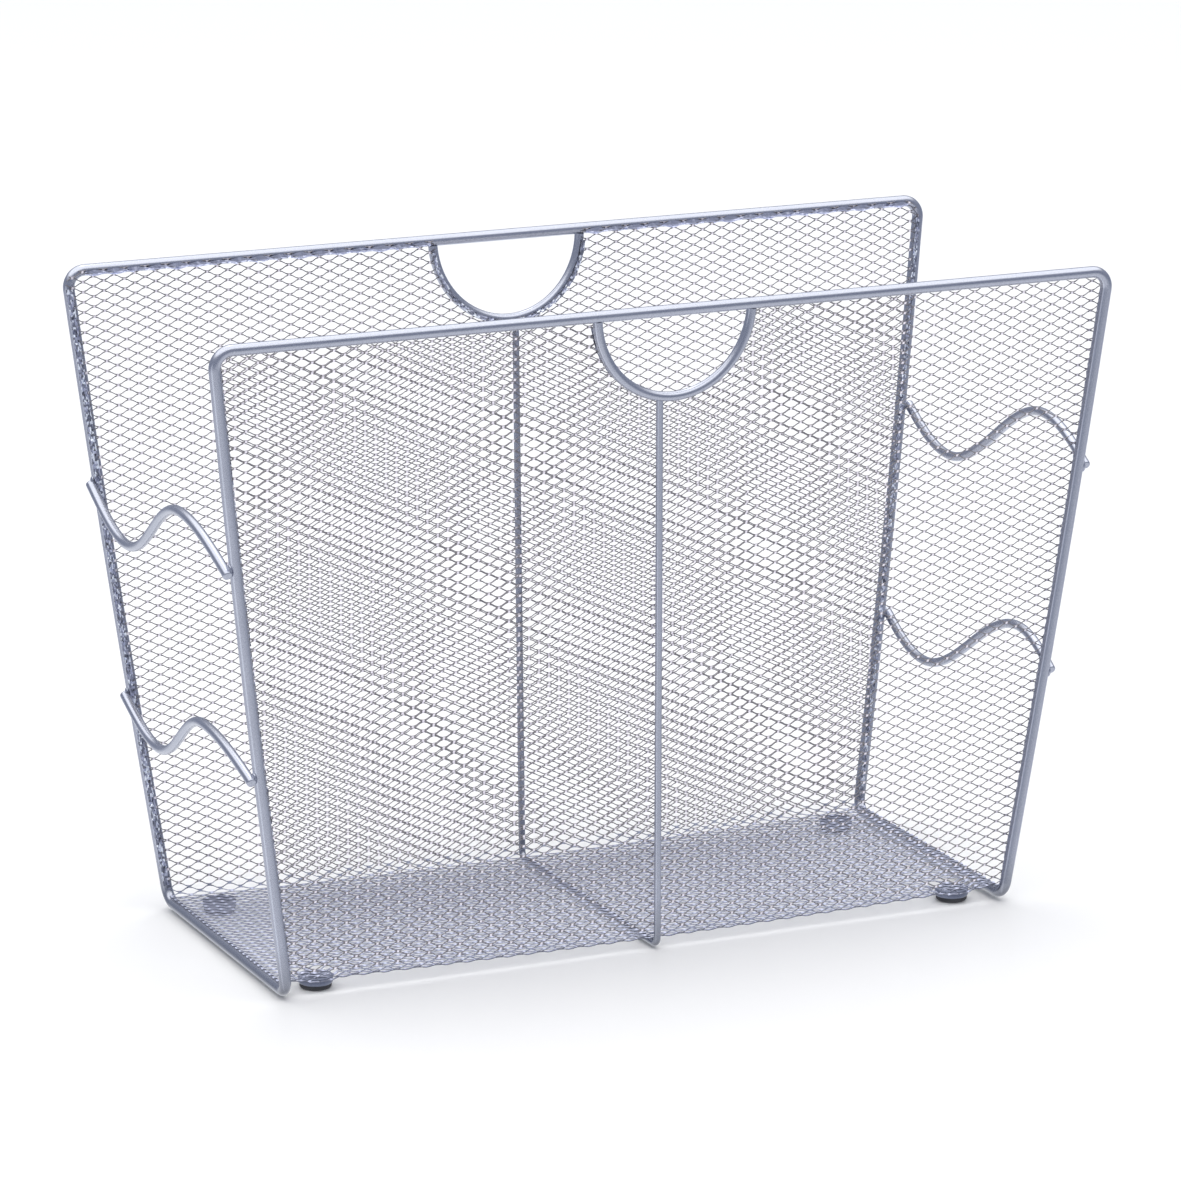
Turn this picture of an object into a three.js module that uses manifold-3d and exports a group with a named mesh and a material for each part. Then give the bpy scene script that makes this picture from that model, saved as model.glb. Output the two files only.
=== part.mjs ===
// Wire and expanded-metal magazine file holder.
//
// Millimetres, +Z up. X runs along the length, Y from the front panel to the rear panel.
// The origin is the middle of the footprint, on the surface that the four pads stand on.

import * as THREE from 'three';
import { mergeVertices } from 'three/addons/utils/BufferGeometryUtils.js';
import Module from 'manifold-3d';

// Frame, between wire centres. Both panels and both ends lean outward.
const TOP_LENGTH = 410;
const BASE_LENGTH = 339;
const TOP_DEPTH = 177;
const BASE_DEPTH = 142;
const RISE = 281;
const FLOOR_TO_BOTTOM_WIRE = 3.7;
const UPRIGHT_BOW = 1.2; // how far an upright bulges outward at half height
const TOP_BEND = 7.2; // bend radii, on the wire's centre line
const BOTTOM_BEND = 7;

// Wire diameters
const FRAME_WIRE = 5;
const ARC_WIRE = 4.2;
const WAVE_WIRE = 4.2;
const CENTRE_WIRE = 3;

// Handle arcs: half ellipses hanging from the rails
const ARC_HALF_WIDTH = 35.3;
const ARC_DROP = 37.3;
const ARC_INSET = 0.4;

// Centre wire: a U under the sheet, from one handle arc to the other, a little askew
const CENTRE_INSET = 1;
const CENTRE_BASE_DROP = 1.4; // below the centre of the bottom wires
const CENTRE_BEND = 4;
const CENTRE_FRONT_TOP_X = -5.5;
const CENTRE_FRONT_BASE_X = 1.8;
const CENTRE_REAR_BASE_X = -0.5;
const CENTRE_REAR_TOP_X = 3.2;

// Wave wires: two on each end, each with a trough towards the rear and a crest towards the
// front. The four differ by a few millimetres, as bent wires do.
//   height    middle of the wave, above the bottom wires
//   swing     trough and crest, below and above that middle
//   trough, crest    their places along Y
//   rearTip, frontTip    [past the upright's centre, above the wave's middle]
const WAVES = {
  left_upper: {
    height: 186.4, swing: 16, trough: 42, crest: -35, rearTip: [-1.5, 2.6], frontTip: [2.5, 0],
  },
  left_lower: {
    height: 94, swing: 14.2, trough: 39, crest: -28, rearTip: [-1, 0.7], frontTip: [2.5, 1.9],
  },
  right_upper: {
    height: 190.8, swing: 17.9, trough: 39, crest: -40, rearTip: [0.5, -3.2], frontTip: [0, 3.4],
  },
  right_lower: {
    height: 96.2, swing: 17.6, trough: 37, crest: -43, rearTip: [1.5, -4], frontTip: [0, 5.9],
  },
};

// Expanded-metal sheet, one length folded into a U inside the wires
const SHEET_THICKNESS = 0.8;
const SHEET_EDGE = 0.5; // how far its hemmed edges reach past the wire centres
const SHEET_SAG = 2.4; // of the base, at mid-length, where it lies on the centre wire
const SAG_FADE = 60; // height over which the sag dies out up the panels

// Feet
const FOOT_X = 151;
const FOOT_Y = 57;
const PAD_RADIUS = 7.2;
const PAD_HEIGHT = 2.4;
const PLATE_RADIUS = 7.4;
const FOOT_CHAMFER = 0.6;

const GAP = 0.3; // clearance between pieces that touch
const CUT_ALLOWANCE = 0.3; // more of it where a square-cut end meets a round wire

const FRAME_RADIUS = FRAME_WIRE / 2;
const BOTTOM_Z = FLOOR_TO_BOTTOM_WIRE;
const RAIL_Z = BOTTOM_Z + RISE;
const END_SLOPE = (TOP_LENGTH - BASE_LENGTH) / 2 / RISE;
const PANEL_SLOPE = (TOP_DEPTH - BASE_DEPTH) / 2 / RISE;
const PANEL_COSINE = 1 / Math.hypot(1, PANEL_SLOPE);
const PANEL_SINE = PANEL_SLOPE * PANEL_COSINE;
const END_COSINE = 1 / Math.hypot(1, END_SLOPE);
const SHEET_OUTER_INSET = FRAME_RADIUS + GAP; // from the frame's centre plane to the sheet

const TUBE_SIDES = 10;
const BEND_STEPS = 5;
const UPRIGHT_STEPS = 8;
const ARC_STEPS = 20;
const WAVE_STEPS = 28;
const SHEET_STEPS = 16;
const FOOT_SIDES = 20;

const steel = { color: 0x8f98ad, roughness: 0.38, metalness: 0.75 };
const meshSteel = { color: 0x99a1b3, roughness: 0.45, metalness: 0.7 };
const plateSteel = { color: 0x6f7a93, roughness: 0.5, metalness: 0.6 };
const rubber = { color: 0x2c2d31, roughness: 0.85, metalness: 0 };

// A tube path whose stations are given point by point, so bends get more of them.
class WirePath extends THREE.Curve {
  constructor(stations) {
    super();
    this.stations = stations;
    this.steps = stations.length - 1;
  }

  getPointAt(u) {
    return this.stations[Math.round(u * this.steps)].clone();
  }

  getTangentAt(u) {
    const i = Math.round(u * this.steps);
    const tangent = new THREE.Vector3();
    if (i > 0) tangent.add(direction(this.stations[i - 1], this.stations[i]));
    if (i < this.steps) tangent.add(direction(this.stations[i], this.stations[i + 1]));
    return tangent.normalize();
  }
}

function direction(from, to) {
  return to.clone().sub(from).normalize();
}

// Stations along straight runs between corners, with a round bend at each inner corner.
function bentLine(corners, radius, bendSteps = BEND_STEPS) {
  const stations = [corners[0].clone()];
  for (let i = 1; i < corners.length - 1; i++) {
    const back = direction(corners[i], corners[i - 1]);
    const ahead = direction(corners[i], corners[i + 1]);
    const turn = Math.PI - back.angleTo(ahead);
    const setback = radius * Math.tan(turn / 2);
    const start = corners[i].clone().addScaledVector(back, setback);
    const end = corners[i].clone().addScaledVector(ahead, setback);
    const toCentre = back.clone().add(ahead).normalize();
    const centre = corners[i].clone().addScaledVector(toCentre, radius / Math.cos(turn / 2));
    const first = start.sub(centre);
    const last = end.sub(centre);
    for (let step = 0; step <= bendSteps; step++) {
      const t = step / bendSteps;
      const spoke = first.clone().multiplyScalar(Math.sin((1 - t) * turn));
      spoke.addScaledVector(last, Math.sin(t * turn)).divideScalar(Math.sin(turn));
      stations.push(spoke.add(centre));
    }
  }
  stations.push(corners[corners.length - 1].clone());
  return stations;
}

// Splits the long runs between stations, so that they can bow.
function splitLongRuns(stations, longest) {
  const result = [stations[0]];
  for (let i = 1; i < stations.length; i++) {
    const pieces = Math.ceil(stations[i].distanceTo(stations[i - 1]) / longest);
    for (let piece = 1; piece <= pieces; piece++) {
      result.push(stations[i - 1].clone().lerp(stations[i], piece / pieces));
    }
  }
  return result;
}

function tube(stations, diameter) {
  const path = new WirePath(stations);
  const section = new THREE.Shape().absarc(0, 0, diameter / 2, 0, 2 * Math.PI);
  const options = { extrudePath: path, steps: path.steps, curveSegments: TUBE_SIDES / 2 };
  return new THREE.ExtrudeGeometry(section, options);
}

// How far the bowed uprights stand outside the straight lean at height z
function bowAt(z) {
  return UPRIGHT_BOW * Math.sin((Math.PI * (z - BOTTOM_Z)) / RISE);
}

function endX(z) {
  return BASE_LENGTH / 2 + END_SLOPE * (z - BOTTOM_Z);
}

// A point inset from a panel's centre plane; side is -1 for the front panel, 1 for the rear.
function onPanel(side, x, z, inset) {
  const planeY = BASE_DEPTH / 2 + PANEL_SLOPE * (z - BOTTOM_Z);
  return new THREE.Vector3(x, side * (planeY - inset / PANEL_COSINE), z);
}

// Half of the frame: a rail, two uprights and half of each bottom wire
function frameHalf(side) {
  const corners = [-1, 1].map((end) => [
    new THREE.Vector3((end * BASE_LENGTH) / 2, (side * GAP) / 2, BOTTOM_Z),
    onPanel(side, (end * BASE_LENGTH) / 2, BOTTOM_Z, 0),
    onPanel(side, (end * TOP_LENGTH) / 2, RAIL_Z, 0),
  ]);
  const [left, right] = corners;
  const bottomBends = [bentLine(left, BOTTOM_BEND), bentLine(right, BOTTOM_BEND).reverse()];
  const rail = bentLine([left[1], left[2], right[2], right[1]], TOP_BEND);
  const route = [...bottomBends[0].slice(0, -1), ...rail.slice(1, -1), ...bottomBends[1].slice(1)];
  const stations = splitLongRuns(route, RISE / UPRIGHT_STEPS);
  for (const station of stations) station.x += Math.sign(station.x) * bowAt(station.z);
  return tube(stations, FRAME_WIRE);
}

function handleArc(side) {
  const clearance = FRAME_RADIUS + GAP + CUT_ALLOWANCE; // the ends are cut square
  const first = Math.asin(clearance / ARC_DROP);
  const stations = [];
  for (let step = 0; step <= ARC_STEPS; step++) {
    const angle = first + ((Math.PI - 2 * first) * step) / ARC_STEPS;
    const drop = ARC_DROP * Math.sin(angle) * PANEL_COSINE;
    stations.push(onPanel(side, -ARC_HALF_WIDTH * Math.cos(angle), RAIL_Z - drop, ARC_INSET));
  }
  return tube(stations, ARC_WIRE);
}

function centreWire() {
  const topZ = (x) => {
    const arcDrop = ARC_DROP * Math.sqrt(1 - (x / ARC_HALF_WIDTH) ** 2);
    return RAIL_Z - (arcDrop + ARC_WIRE / 2 + GAP + CUT_ALLOWANCE) * PANEL_COSINE;
  };
  const baseZ = BOTTOM_Z - CENTRE_BASE_DROP;
  const corners = [
    onPanel(-1, CENTRE_FRONT_TOP_X, topZ(CENTRE_FRONT_TOP_X), CENTRE_INSET),
    onPanel(-1, CENTRE_FRONT_BASE_X, baseZ, CENTRE_INSET),
    onPanel(1, CENTRE_REAR_BASE_X, baseZ, CENTRE_INSET),
    onPanel(1, CENTRE_REAR_TOP_X, topZ(CENTRE_REAR_TOP_X), CENTRE_INSET),
  ];
  return tube(bentLine(corners, CENTRE_BEND), CENTRE_WIRE);
}

// Height above a wave's middle at y: half a cosine between trough and crest, a quarter outside
function waveRise(y, wave, rearY, frontY) {
  const { swing, trough, crest, rearTip, frontTip } = wave;
  if (y <= trough && y >= crest) {
    return -swing * Math.cos((Math.PI * (trough - y)) / (trough - crest));
  }
  const rear = y > trough;
  const turn = rear ? -swing : swing;
  const tip = rear ? rearTip[1] : frontTip[1];
  const t = rear ? (y - trough) / (rearY - trough) : (y - crest) / (frontY - crest);
  return turn + (tip - turn) * (1 - Math.cos((Math.PI / 2) * t));
}

function waveWire(end, wave) {
  const uprightY = BASE_DEPTH / 2 + PANEL_SLOPE * wave.height;
  const rearY = uprightY + wave.rearTip[0];
  const frontY = -uprightY - wave.frontTip[0];
  const stand = (FRAME_RADIUS + WAVE_WIRE / 2 + GAP) / END_COSINE + UPRIGHT_BOW;
  const stations = [];
  for (let step = 0; step <= WAVE_STEPS; step++) {
    const y = rearY + ((frontY - rearY) * step) / WAVE_STEPS;
    const z = BOTTOM_Z + wave.height + waveRise(y, wave, rearY, frontY);
    stations.push(new THREE.Vector3(end * (endX(z) + stand), y, z));
  }
  return tube(stations, WAVE_WIRE);
}

// One limb-base-limb line of the folded sheet's section, as (y, z) points
function sheetLine(inset, topZ) {
  const foldZ = BOTTOM_Z + inset;
  const corners = [
    onPanel(1, 0, topZ, inset),
    onPanel(1, 0, foldZ, inset),
    onPanel(-1, 0, foldZ, inset),
    onPanel(-1, 0, topZ, inset),
  ];
  return bentLine(corners, BOTTOM_BEND - inset).map((point) => new THREE.Vector2(point.y, point.z));
}

// How far the sheet sags at x; it hangs from the bottom wires at both ends
function sagAt(x) {
  return SHEET_SAG * Math.max(0, 1 - (2 * x / BASE_LENGTH) ** 2);
}

// Lowers the base and, less and less with height, the panels, along their own slope
function sag(geometry) {
  const points = geometry.attributes.position;
  for (let i = 0; i < points.count; i++) {
    const [x, y, z] = [points.getX(i), points.getY(i), points.getZ(i)];
    const fade = THREE.MathUtils.clamp(1 - (z - BOTTOM_Z - BOTTOM_BEND) / SAG_FADE, 0, 1);
    const drop = sagAt(x) * fade;
    points.setXYZ(i, x, y - Math.sign(y) * PANEL_SLOPE * drop, z - drop);
  }
  return geometry;
}

function toSolid(wasm, geometry) {
  const merged = geometry.clone();
  merged.deleteAttribute('normal');
  merged.deleteAttribute('uv');
  const closed = mergeVertices(merged, 1e-4);
  return new wasm.Manifold(new wasm.Mesh({
    numProp: 3,
    vertProperties: Float32Array.from(closed.attributes.position.array),
    triVerts: Uint32Array.from(closed.index.array),
  }));
}

function fromSolid(solid) {
  const { vertProperties, triVerts } = solid.getMesh();
  const geometry = new THREE.BufferGeometry();
  geometry.setAttribute('position', new THREE.BufferAttribute(vertProperties, 3));
  geometry.setIndex(new THREE.BufferAttribute(triVerts, 1));
  geometry.computeVertexNormals();
  return geometry;
}

// A front-view outline, as (x, z) points, run through the whole depth of the holder
function throughDepth(outline) {
  const depth = TOP_DEPTH + 2 * FRAME_WIRE;
  const prism = new THREE.ExtrudeGeometry(new THREE.Shape(outline), { depth, bevelEnabled: false });
  return prism.rotateX(Math.PI / 2).translate(0, depth / 2, 0);
}

// The sheet in front view: bowed sides and rounded top corners, like the frame around it
function sheetOutline() {
  const top = RAIL_Z + SHEET_EDGE;
  const bottom = BOTTOM_Z - FRAME_RADIUS;
  const corner = (end, z) => new THREE.Vector3(end * (endX(z) + SHEET_EDGE), z, 0);
  const corners = [corner(-1, bottom), corner(-1, top), corner(1, top), corner(1, bottom)];
  const line = splitLongRuns(bentLine(corners, TOP_BEND + SHEET_EDGE), RISE / UPRIGHT_STEPS);
  return line.map(({ x, y: z }) => new THREE.Vector2(x + Math.sign(x) * bowAt(z), z));
}

function foldedSheet(wasm) {
  const topZ = RAIL_Z + 2 * SHEET_EDGE; // trimmed to the outline below
  const outer = sheetLine(SHEET_OUTER_INSET, topZ);
  const inner = sheetLine(SHEET_OUTER_INSET + SHEET_THICKNESS, topZ);
  const section = new THREE.Shape([...outer, ...inner.reverse()]);
  const length = TOP_LENGTH + 4 * FRAME_WIRE;
  const options = { depth: length, steps: SHEET_STEPS, bevelEnabled: false };
  const strip = new THREE.ExtrudeGeometry(section, options);
  const yzToWorld = new THREE.Matrix4().makeBasis(
    new THREE.Vector3(0, 1, 0),
    new THREE.Vector3(0, 0, 1),
    new THREE.Vector3(1, 0, 0),
  );
  strip.applyMatrix4(yzToWorld).translate(-length / 2, 0, 0);

  const notch = new THREE.EllipseCurve(0, RAIL_Z, ARC_HALF_WIDTH, ARC_DROP, 0, 2 * Math.PI);
  const notchOutline = notch.getPoints(2 * ARC_STEPS).slice(0, -1);
  const sheet = toSolid(wasm, sag(strip))
    .intersect(toSolid(wasm, throughDepth(sheetOutline())))
    .subtract(toSolid(wasm, throughDepth(notchOutline)));
  return fromSolid(sheet);
}

// A turned disc from bottomZ to topZ with both rims chamfered
function disc(radius, bottomZ, topZ) {
  const inner = radius - FOOT_CHAMFER;
  const profile = [
    new THREE.Vector2(0, bottomZ),
    new THREE.Vector2(inner, bottomZ),
    new THREE.Vector2(radius, bottomZ + FOOT_CHAMFER),
    new THREE.Vector2(radius, topZ - FOOT_CHAMFER),
    new THREE.Vector2(inner, topZ),
    new THREE.Vector2(0, topZ),
  ];
  return new THREE.LatheGeometry(profile, FOOT_SIDES).rotateX(Math.PI / 2);
}

const holder = new THREE.Group();

function addPiece(name, geometry, finish, x = 0, y = 0) {
  const piece = new THREE.Mesh(geometry, new THREE.MeshStandardMaterial(finish));
  piece.name = name;
  piece.position.set(x, y, 0);
  holder.add(piece);
}

const wasm = await Module();
wasm.setup();

for (const [panel, side] of [['front', -1], ['rear', 1]]) {
  addPiece(`frame_${panel}`, frameHalf(side), steel);
  addPiece(`handle_arc_${panel}`, handleArc(side), steel);
}
addPiece('centre_wire', centreWire(), steel);
addPiece('mesh_sheet', foldedSheet(wasm), meshSteel);

for (const [hand, end] of [['left', -1], ['right', 1]]) {
  for (const level of ['upper', 'lower']) {
    addPiece(`wave_wire_${hand}_${level}`, waveWire(end, WAVES[`${hand}_${level}`]), steel);
  }
  for (const [panel, side] of [['front', -1], ['rear', 1]]) {
    const sheetBottom = BOTTOM_Z + SHEET_OUTER_INSET - sagAt(FOOT_X - PLATE_RADIUS);
    const plate = disc(PLATE_RADIUS, PAD_HEIGHT + GAP, sheetBottom - GAP);
    const pad = disc(PAD_RADIUS, 0, PAD_HEIGHT);
    addPiece(`foot_plate_${panel}_${hand}`, plate, plateSteel, end * FOOT_X, side * FOOT_Y);
    addPiece(`foot_pad_${panel}_${hand}`, pad, rubber, end * FOOT_X, side * FOOT_Y);
  }
}

export default holder;
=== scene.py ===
"""Studio scene of a wire and expanded-metal magazine file holder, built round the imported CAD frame."""
import math
from collections import namedtuple

import bmesh
import bpy
import numpy as np
from mathutils import Matrix, Vector

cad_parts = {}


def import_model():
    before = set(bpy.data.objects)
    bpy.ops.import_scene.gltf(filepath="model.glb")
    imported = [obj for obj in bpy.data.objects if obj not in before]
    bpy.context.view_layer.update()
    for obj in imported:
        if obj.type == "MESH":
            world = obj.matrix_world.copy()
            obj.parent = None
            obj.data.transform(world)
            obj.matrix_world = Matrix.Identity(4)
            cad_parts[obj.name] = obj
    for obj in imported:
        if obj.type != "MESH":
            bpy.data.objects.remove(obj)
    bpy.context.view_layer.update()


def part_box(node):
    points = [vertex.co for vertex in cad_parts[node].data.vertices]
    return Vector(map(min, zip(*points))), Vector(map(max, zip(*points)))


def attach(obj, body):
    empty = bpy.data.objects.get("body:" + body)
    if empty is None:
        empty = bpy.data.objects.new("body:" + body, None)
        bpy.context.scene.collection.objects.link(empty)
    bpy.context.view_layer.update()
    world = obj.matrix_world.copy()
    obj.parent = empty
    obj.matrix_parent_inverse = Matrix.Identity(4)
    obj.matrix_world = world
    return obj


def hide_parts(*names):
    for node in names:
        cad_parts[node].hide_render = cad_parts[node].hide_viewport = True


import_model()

# ---------------------------------------------------------------- sizes, in metres, as in the CAD
MM = 0.001
WIRE = 2.5 * MM  # radius of the frame wire
ARC_WIRE = 2.1 * MM
WAVE_WIRE = 2.1 * MM
CENTRE_WIRE = 1.5 * MM

frame_low, frame_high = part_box("frame_front")
RAIL_Z = frame_high[2] - WIRE
BOTTOM_Z = frame_low[2] + WIRE
RISE = RAIL_Z - BOTTOM_Z

TOP_LENGTH = 410 * MM
BASE_LENGTH = 339 * MM
TOP_DEPTH = 177 * MM
BASE_DEPTH = 142 * MM
END_SLOPE = (TOP_LENGTH - BASE_LENGTH) / 2 / RISE
PANEL_SLOPE = (TOP_DEPTH - BASE_DEPTH) / 2 / RISE
LEAN = math.atan(PANEL_SLOPE)
UPRIGHT_BOW = 1.2 * MM
TOP_BEND = 7.2 * MM
BOTTOM_BEND = 7 * MM

ARC_HALF_WIDTH = 35.3 * MM
ARC_DROP = 37.3 * MM
ARC_INSET = 0.4 * MM  # from the panel's centre plane, as for the centre wire
ARC_STEPS = 64

CENTRE_INSET = 1 * MM
CENTRE_BASE_DROP = 1.4 * MM
CENTRE_BEND = 4 * MM
CENTRE_FRONT_TOP_X = -5.5 * MM
CENTRE_FRONT_BASE_X = 1.8 * MM
CENTRE_REAR_BASE_X = -0.5 * MM
CENTRE_REAR_TOP_X = 3.2 * MM

# Wave wires, in millimetres: the middle's height above the bottom wires, the swing above and below it,
# the places of trough and crest along Y, and each tip as (past the upright's centre, above the middle)
Wave = namedtuple("Wave", "height swing trough crest rear_tip front_tip")
WAVES = {
    ("left", "upper"): Wave(186.4, 16, 42, -35, (-1.5, 2.6), (2.5, 0)),
    ("left", "lower"): Wave(94, 14.2, 39, -28, (-1, 0.7), (2.5, 1.9)),
    ("right", "upper"): Wave(190.8, 17.9, 39, -40, (0.5, -3.2), (0, 3.4)),
    ("right", "lower"): Wave(96.2, 17.6, 37, -43, (1.5, -4), (0, 5.9)),
}
WAVE_STEPS = 120
WAVE_END_ROUND = 0.7 * MM
WELD_SINK = 0.35 * MM  # how deep welded wires sink into each other
WELD_RADII = (0.9 * MM, 1.7 * MM, 2.4 * MM)
WELD_SEED = 70
WELD_LUMPS = 6
WELD_LUMP_SIZES = (0.05, 0.12)  # smallest and largest, as shares of the bead's radii

# Expanded metal: diamonds LONG_WAY by SHORT_WAY between the middles of the bonds
LONG_WAY = 9.46 * MM
SHORT_WAY = 4.37 * MM
BOND = 1.05 * MM
STRAND_SWING = ((0.27, 0.2), (0.73, 0.8))  # two points of a strand: how far along, how far across
STRAND = 0.4 * MM
BOND_HALF = 0.6 * MM  # half a bond's width: two strands side by side make a bond, which spreads a little
STRAND_THICKNESS = 0.3 * MM
STRAND_TILT = math.radians(-26)
# How bright strands and bonds are on the panels and on the base, and the sheared edges everywhere: painted
# highlights on the bonds, painted shade on the strands and their cut edges
PANEL_TONES = (0.46, 2.0)
BASE_TONES = (0.95, 1.25)
CUT_TONE = 0.42
SHEET_EDGE = 0.5 * MM  # how far the sheet goes past the centres of the rails and the bottom wires
SIDE_EDGE = -1 * MM  # the panels' side edges stop short of the uprights' centres
REAR_LEFT_EDGE = 2.3 * MM  # but the rear left one wraps past it
SHEET_SAG = 2.4 * MM
SAG_FADE = 60 * MM  # the height up the panels over which the sag dies away
DENT = 1.5 * MM  # the sheet hangs lower in a ring round each front foot's disc
DENT_RADIUS = 8.3 * MM
DENT_WIDTH = 1.5 * MM
RAISED = STRAND * math.sin(-STRAND_TILT) + STRAND_THICKNESS / 2 * math.cos(STRAND_TILT)
SHEET_INSET = WIRE + RAISED  # the sheet's middle lies on the wires' inner sides

# Hems: the sheet's edges, folded back and crushed nearly solid against the wires
HEM_EDGES = {  # each upright's hem: how far its two edges lie outward and inward of the wire's centre
    ("front", "left"): (-1 * MM, 4.2 * MM),
    ("front", "right"): (1 * MM, 0.9 * MM),
    ("rear", "left"): (REAR_LEFT_EDGE, 0.5 * MM),
    ("rear", "right"): (-0.5 * MM, 2.5 * MM),
}
UPRIGHT_HEM_SHARES = (0, 0.2, 0.42, 0.6, 0.8, 1)  # where its rows lie across the hem
HEM_START = 1 * MM  # above the fold
ARC_HEM_WIDTH = 1.8 * MM
ARC_HEM_SHARES = (0, 0.3, 0.65, 1)
ARC_HEM_SPAN = (0.04, 0.96)  # the part of the half turn that it covers
ARC_HEM_STEPS = 96
RAIL_HEM_START = 2 * MM  # beyond the arc
LENS_DEPTH = 0.7 * MM  # the middle of the flattened diamonds, below the rail's centre
LENS_HALF_HEIGHT = 0.95 * MM
LENS_SIZES = (0.6, 1.15)  # smallest and largest, as shares of that half height
LENS_WAIST = 0.2 * MM  # half the height left between two lens shapes
LENS_STEPS = 8
LIP = 0.55 * MM
# The rail hems' rows are painted lighter downward toward the lip: painted light
RAIL_HEM_TONES = (1.0, 1.4, 1.9)  # its three rows, from the top
HEM_CRUMPLE = 0.156 * MM
HEM_JITTER = 0.2 * MM
HEM_LIFT = 0.55 * MM  # the folded-back layer, inward of the first
HEM_TONES = (0.5625, 0.9375, 1.3125, 2.375)  # a hem's crumpled cells take these at random
UPRIGHT_HOLE_CHANCE = 0.7  # the chance that a place where the mesh may show a hole has one
ARC_HOLE_CHANCE = 0.75
LENS_HOLE_CHANCES = (0.6, 0.5)  # in the lens's second row, and in its last

# Feet: a steel disc whose rim laps over the shoulder of a rubber pad
SKIRT = 0.8 * MM  # how far the rim laps down past the CAD disc
DISC_TOP_ROUND = 0.5 * MM
DISC_RIM_ROUND = 1.3 * MM
PAD_INSET = 0.3 * MM  # how far the pad's side keeps inside the CAD pad, and its top goes up into the disc
PAD_SOLE_ROUND = 1.3 * MM
PAD_SHOULDER_ROUND = 0.5 * MM
PAD_SHOULDER_INSET = 0.1 * MM
PAD_HOLLOW = 0.25 * MM  # a shallow hollow in the sole, between two shares of the pad's radius
PAD_HOLLOW_SHARES = (0.45, 0.55)


# ---------------------------------------------------------------- mesh helpers
SHARP_ANGLE = math.radians(35)
BEND_STEPS = 14
LONGEST_RUN = 12 * MM  # between the rings of a straight stretch of frame wire
LONGEST_CENTRE_RUN = 15 * MM
END_ROUND_SHARES = (0.0, 0.35, 0.7, 1.0)  # of the quarter turn over a wire's rounded end


def mesh_object(name, vertices, faces, smooth=True):
    mesh = bpy.data.meshes.new(name)
    mesh.from_pydata([tuple(v) for v in vertices], [], [tuple(int(i) for i in f) for f in faces])
    mesh.validate()
    obj = bpy.data.objects.new(name, mesh)
    bpy.context.scene.collection.objects.link(obj)
    mesh.polygons.foreach_set("use_smooth", [smooth] * len(mesh.polygons))
    if smooth:
        mesh.set_sharp_from_angle(angle=SHARP_ANGLE)
    mesh.update()
    return obj


def unit(vector):
    return vector / np.linalg.norm(vector)


def bent_line(corners, radius):
    """Points along straight runs between corners, with a round bend at each inner corner."""
    points = [corners[0]]
    for before, corner, after in zip(corners, corners[1:], corners[2:]):
        back, ahead = unit(before - corner), unit(after - corner)
        turn = math.pi - math.acos(float(np.clip(back @ ahead, -1, 1)))
        setback = radius * math.tan(turn / 2)
        centre = corner + unit(back + ahead) * radius / math.cos(turn / 2)
        first, last = corner + back * setback - centre, corner + ahead * setback - centre
        for step in range(BEND_STEPS + 1):
            t = step / BEND_STEPS
            swung = math.sin((1 - t) * turn) * first + math.sin(t * turn) * last
            points.append(centre + swung / math.sin(turn))
    points.append(corners[-1])
    return points


def split_long_runs(points, longest):
    result = [points[0]]
    for start, end in zip(points, points[1:]):
        pieces = max(1, math.ceil(np.linalg.norm(end - start) / longest))
        result += [start + (end - start) * piece / pieces for piece in range(1, pieces + 1)]
    return result


def rounded_end(point, outward, tangent, radius, end_round):
    """Rings (centre, tangent, radius) over a wire's rounded end, from its side to its end face."""
    rings = []
    for share in END_ROUND_SHARES:
        angle = share * math.pi / 2
        centre = point - outward * end_round * (1 - math.sin(angle))
        rings.append((centre, tangent, radius - end_round * (1 - math.cos(angle))))
    return rings


def tube(name, points, radius, sides=24, end_round=0.0):
    """A round wire along points, with its two cut ends rounded over by end_round."""
    points = [np.asarray(p, float) for p in points]
    steps = [unit(b - a) for a, b in zip(points, points[1:])]
    tangents = [steps[0]] + [unit(a + b) for a, b in zip(steps, steps[1:])] + [steps[-1]]
    rings = [(point, tangent, radius) for point, tangent in zip(points, tangents)]
    if end_round > 0:
        first = rounded_end(points[0], -tangents[0], tangents[0], radius, end_round)
        last = rounded_end(points[-1], tangents[-1], tangents[-1], radius, end_round)
        rings = first[::-1] + rings[1:-1] + last
    across = np.cross(rings[0][1], [0.0, 0.0, 1.0])
    if np.linalg.norm(across) < 0.1:
        across = np.cross(rings[0][1], [0.0, 1.0, 0.0])
    across = unit(across)
    vertices = []
    previous = rings[0][1]
    for point, tangent, ring_radius in rings:
        axis = np.cross(previous, tangent)
        if np.linalg.norm(axis) > 1e-9:
            turn = math.asin(min(1.0, float(np.linalg.norm(axis))))
            across = np.array(Matrix.Rotation(turn, 3, Vector(axis)) @ Vector(across))
        across = unit(across - tangent * (across @ tangent))
        up = np.cross(tangent, across)
        previous = tangent
        for side in range(sides):
            angle = 2 * math.pi * side / sides
            vertices.append(point + ring_radius * (math.cos(angle) * across + math.sin(angle) * up))
    faces = []
    for ring in range(len(rings) - 1):
        for side in range(sides):
            a = ring * sides + side
            b = ring * sides + (side + 1) % sides
            faces.append((a, b, b + sides, a + sides))
    faces.append(tuple(range(sides - 1, -1, -1)))
    last = (len(rings) - 1) * sides
    faces.append(tuple(range(last, last + sides)))
    return mesh_object(name, vertices, faces)


def bow_at(z):
    """How far the uprights bow outward along X at height z."""
    return UPRIGHT_BOW * np.sin(np.pi * (z - BOTTOM_Z) / RISE)


def end_x(z):
    """How far out the straight line of the uprights lies at height z."""
    return BASE_LENGTH / 2 + END_SLOPE * (z - BOTTOM_Z)


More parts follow.
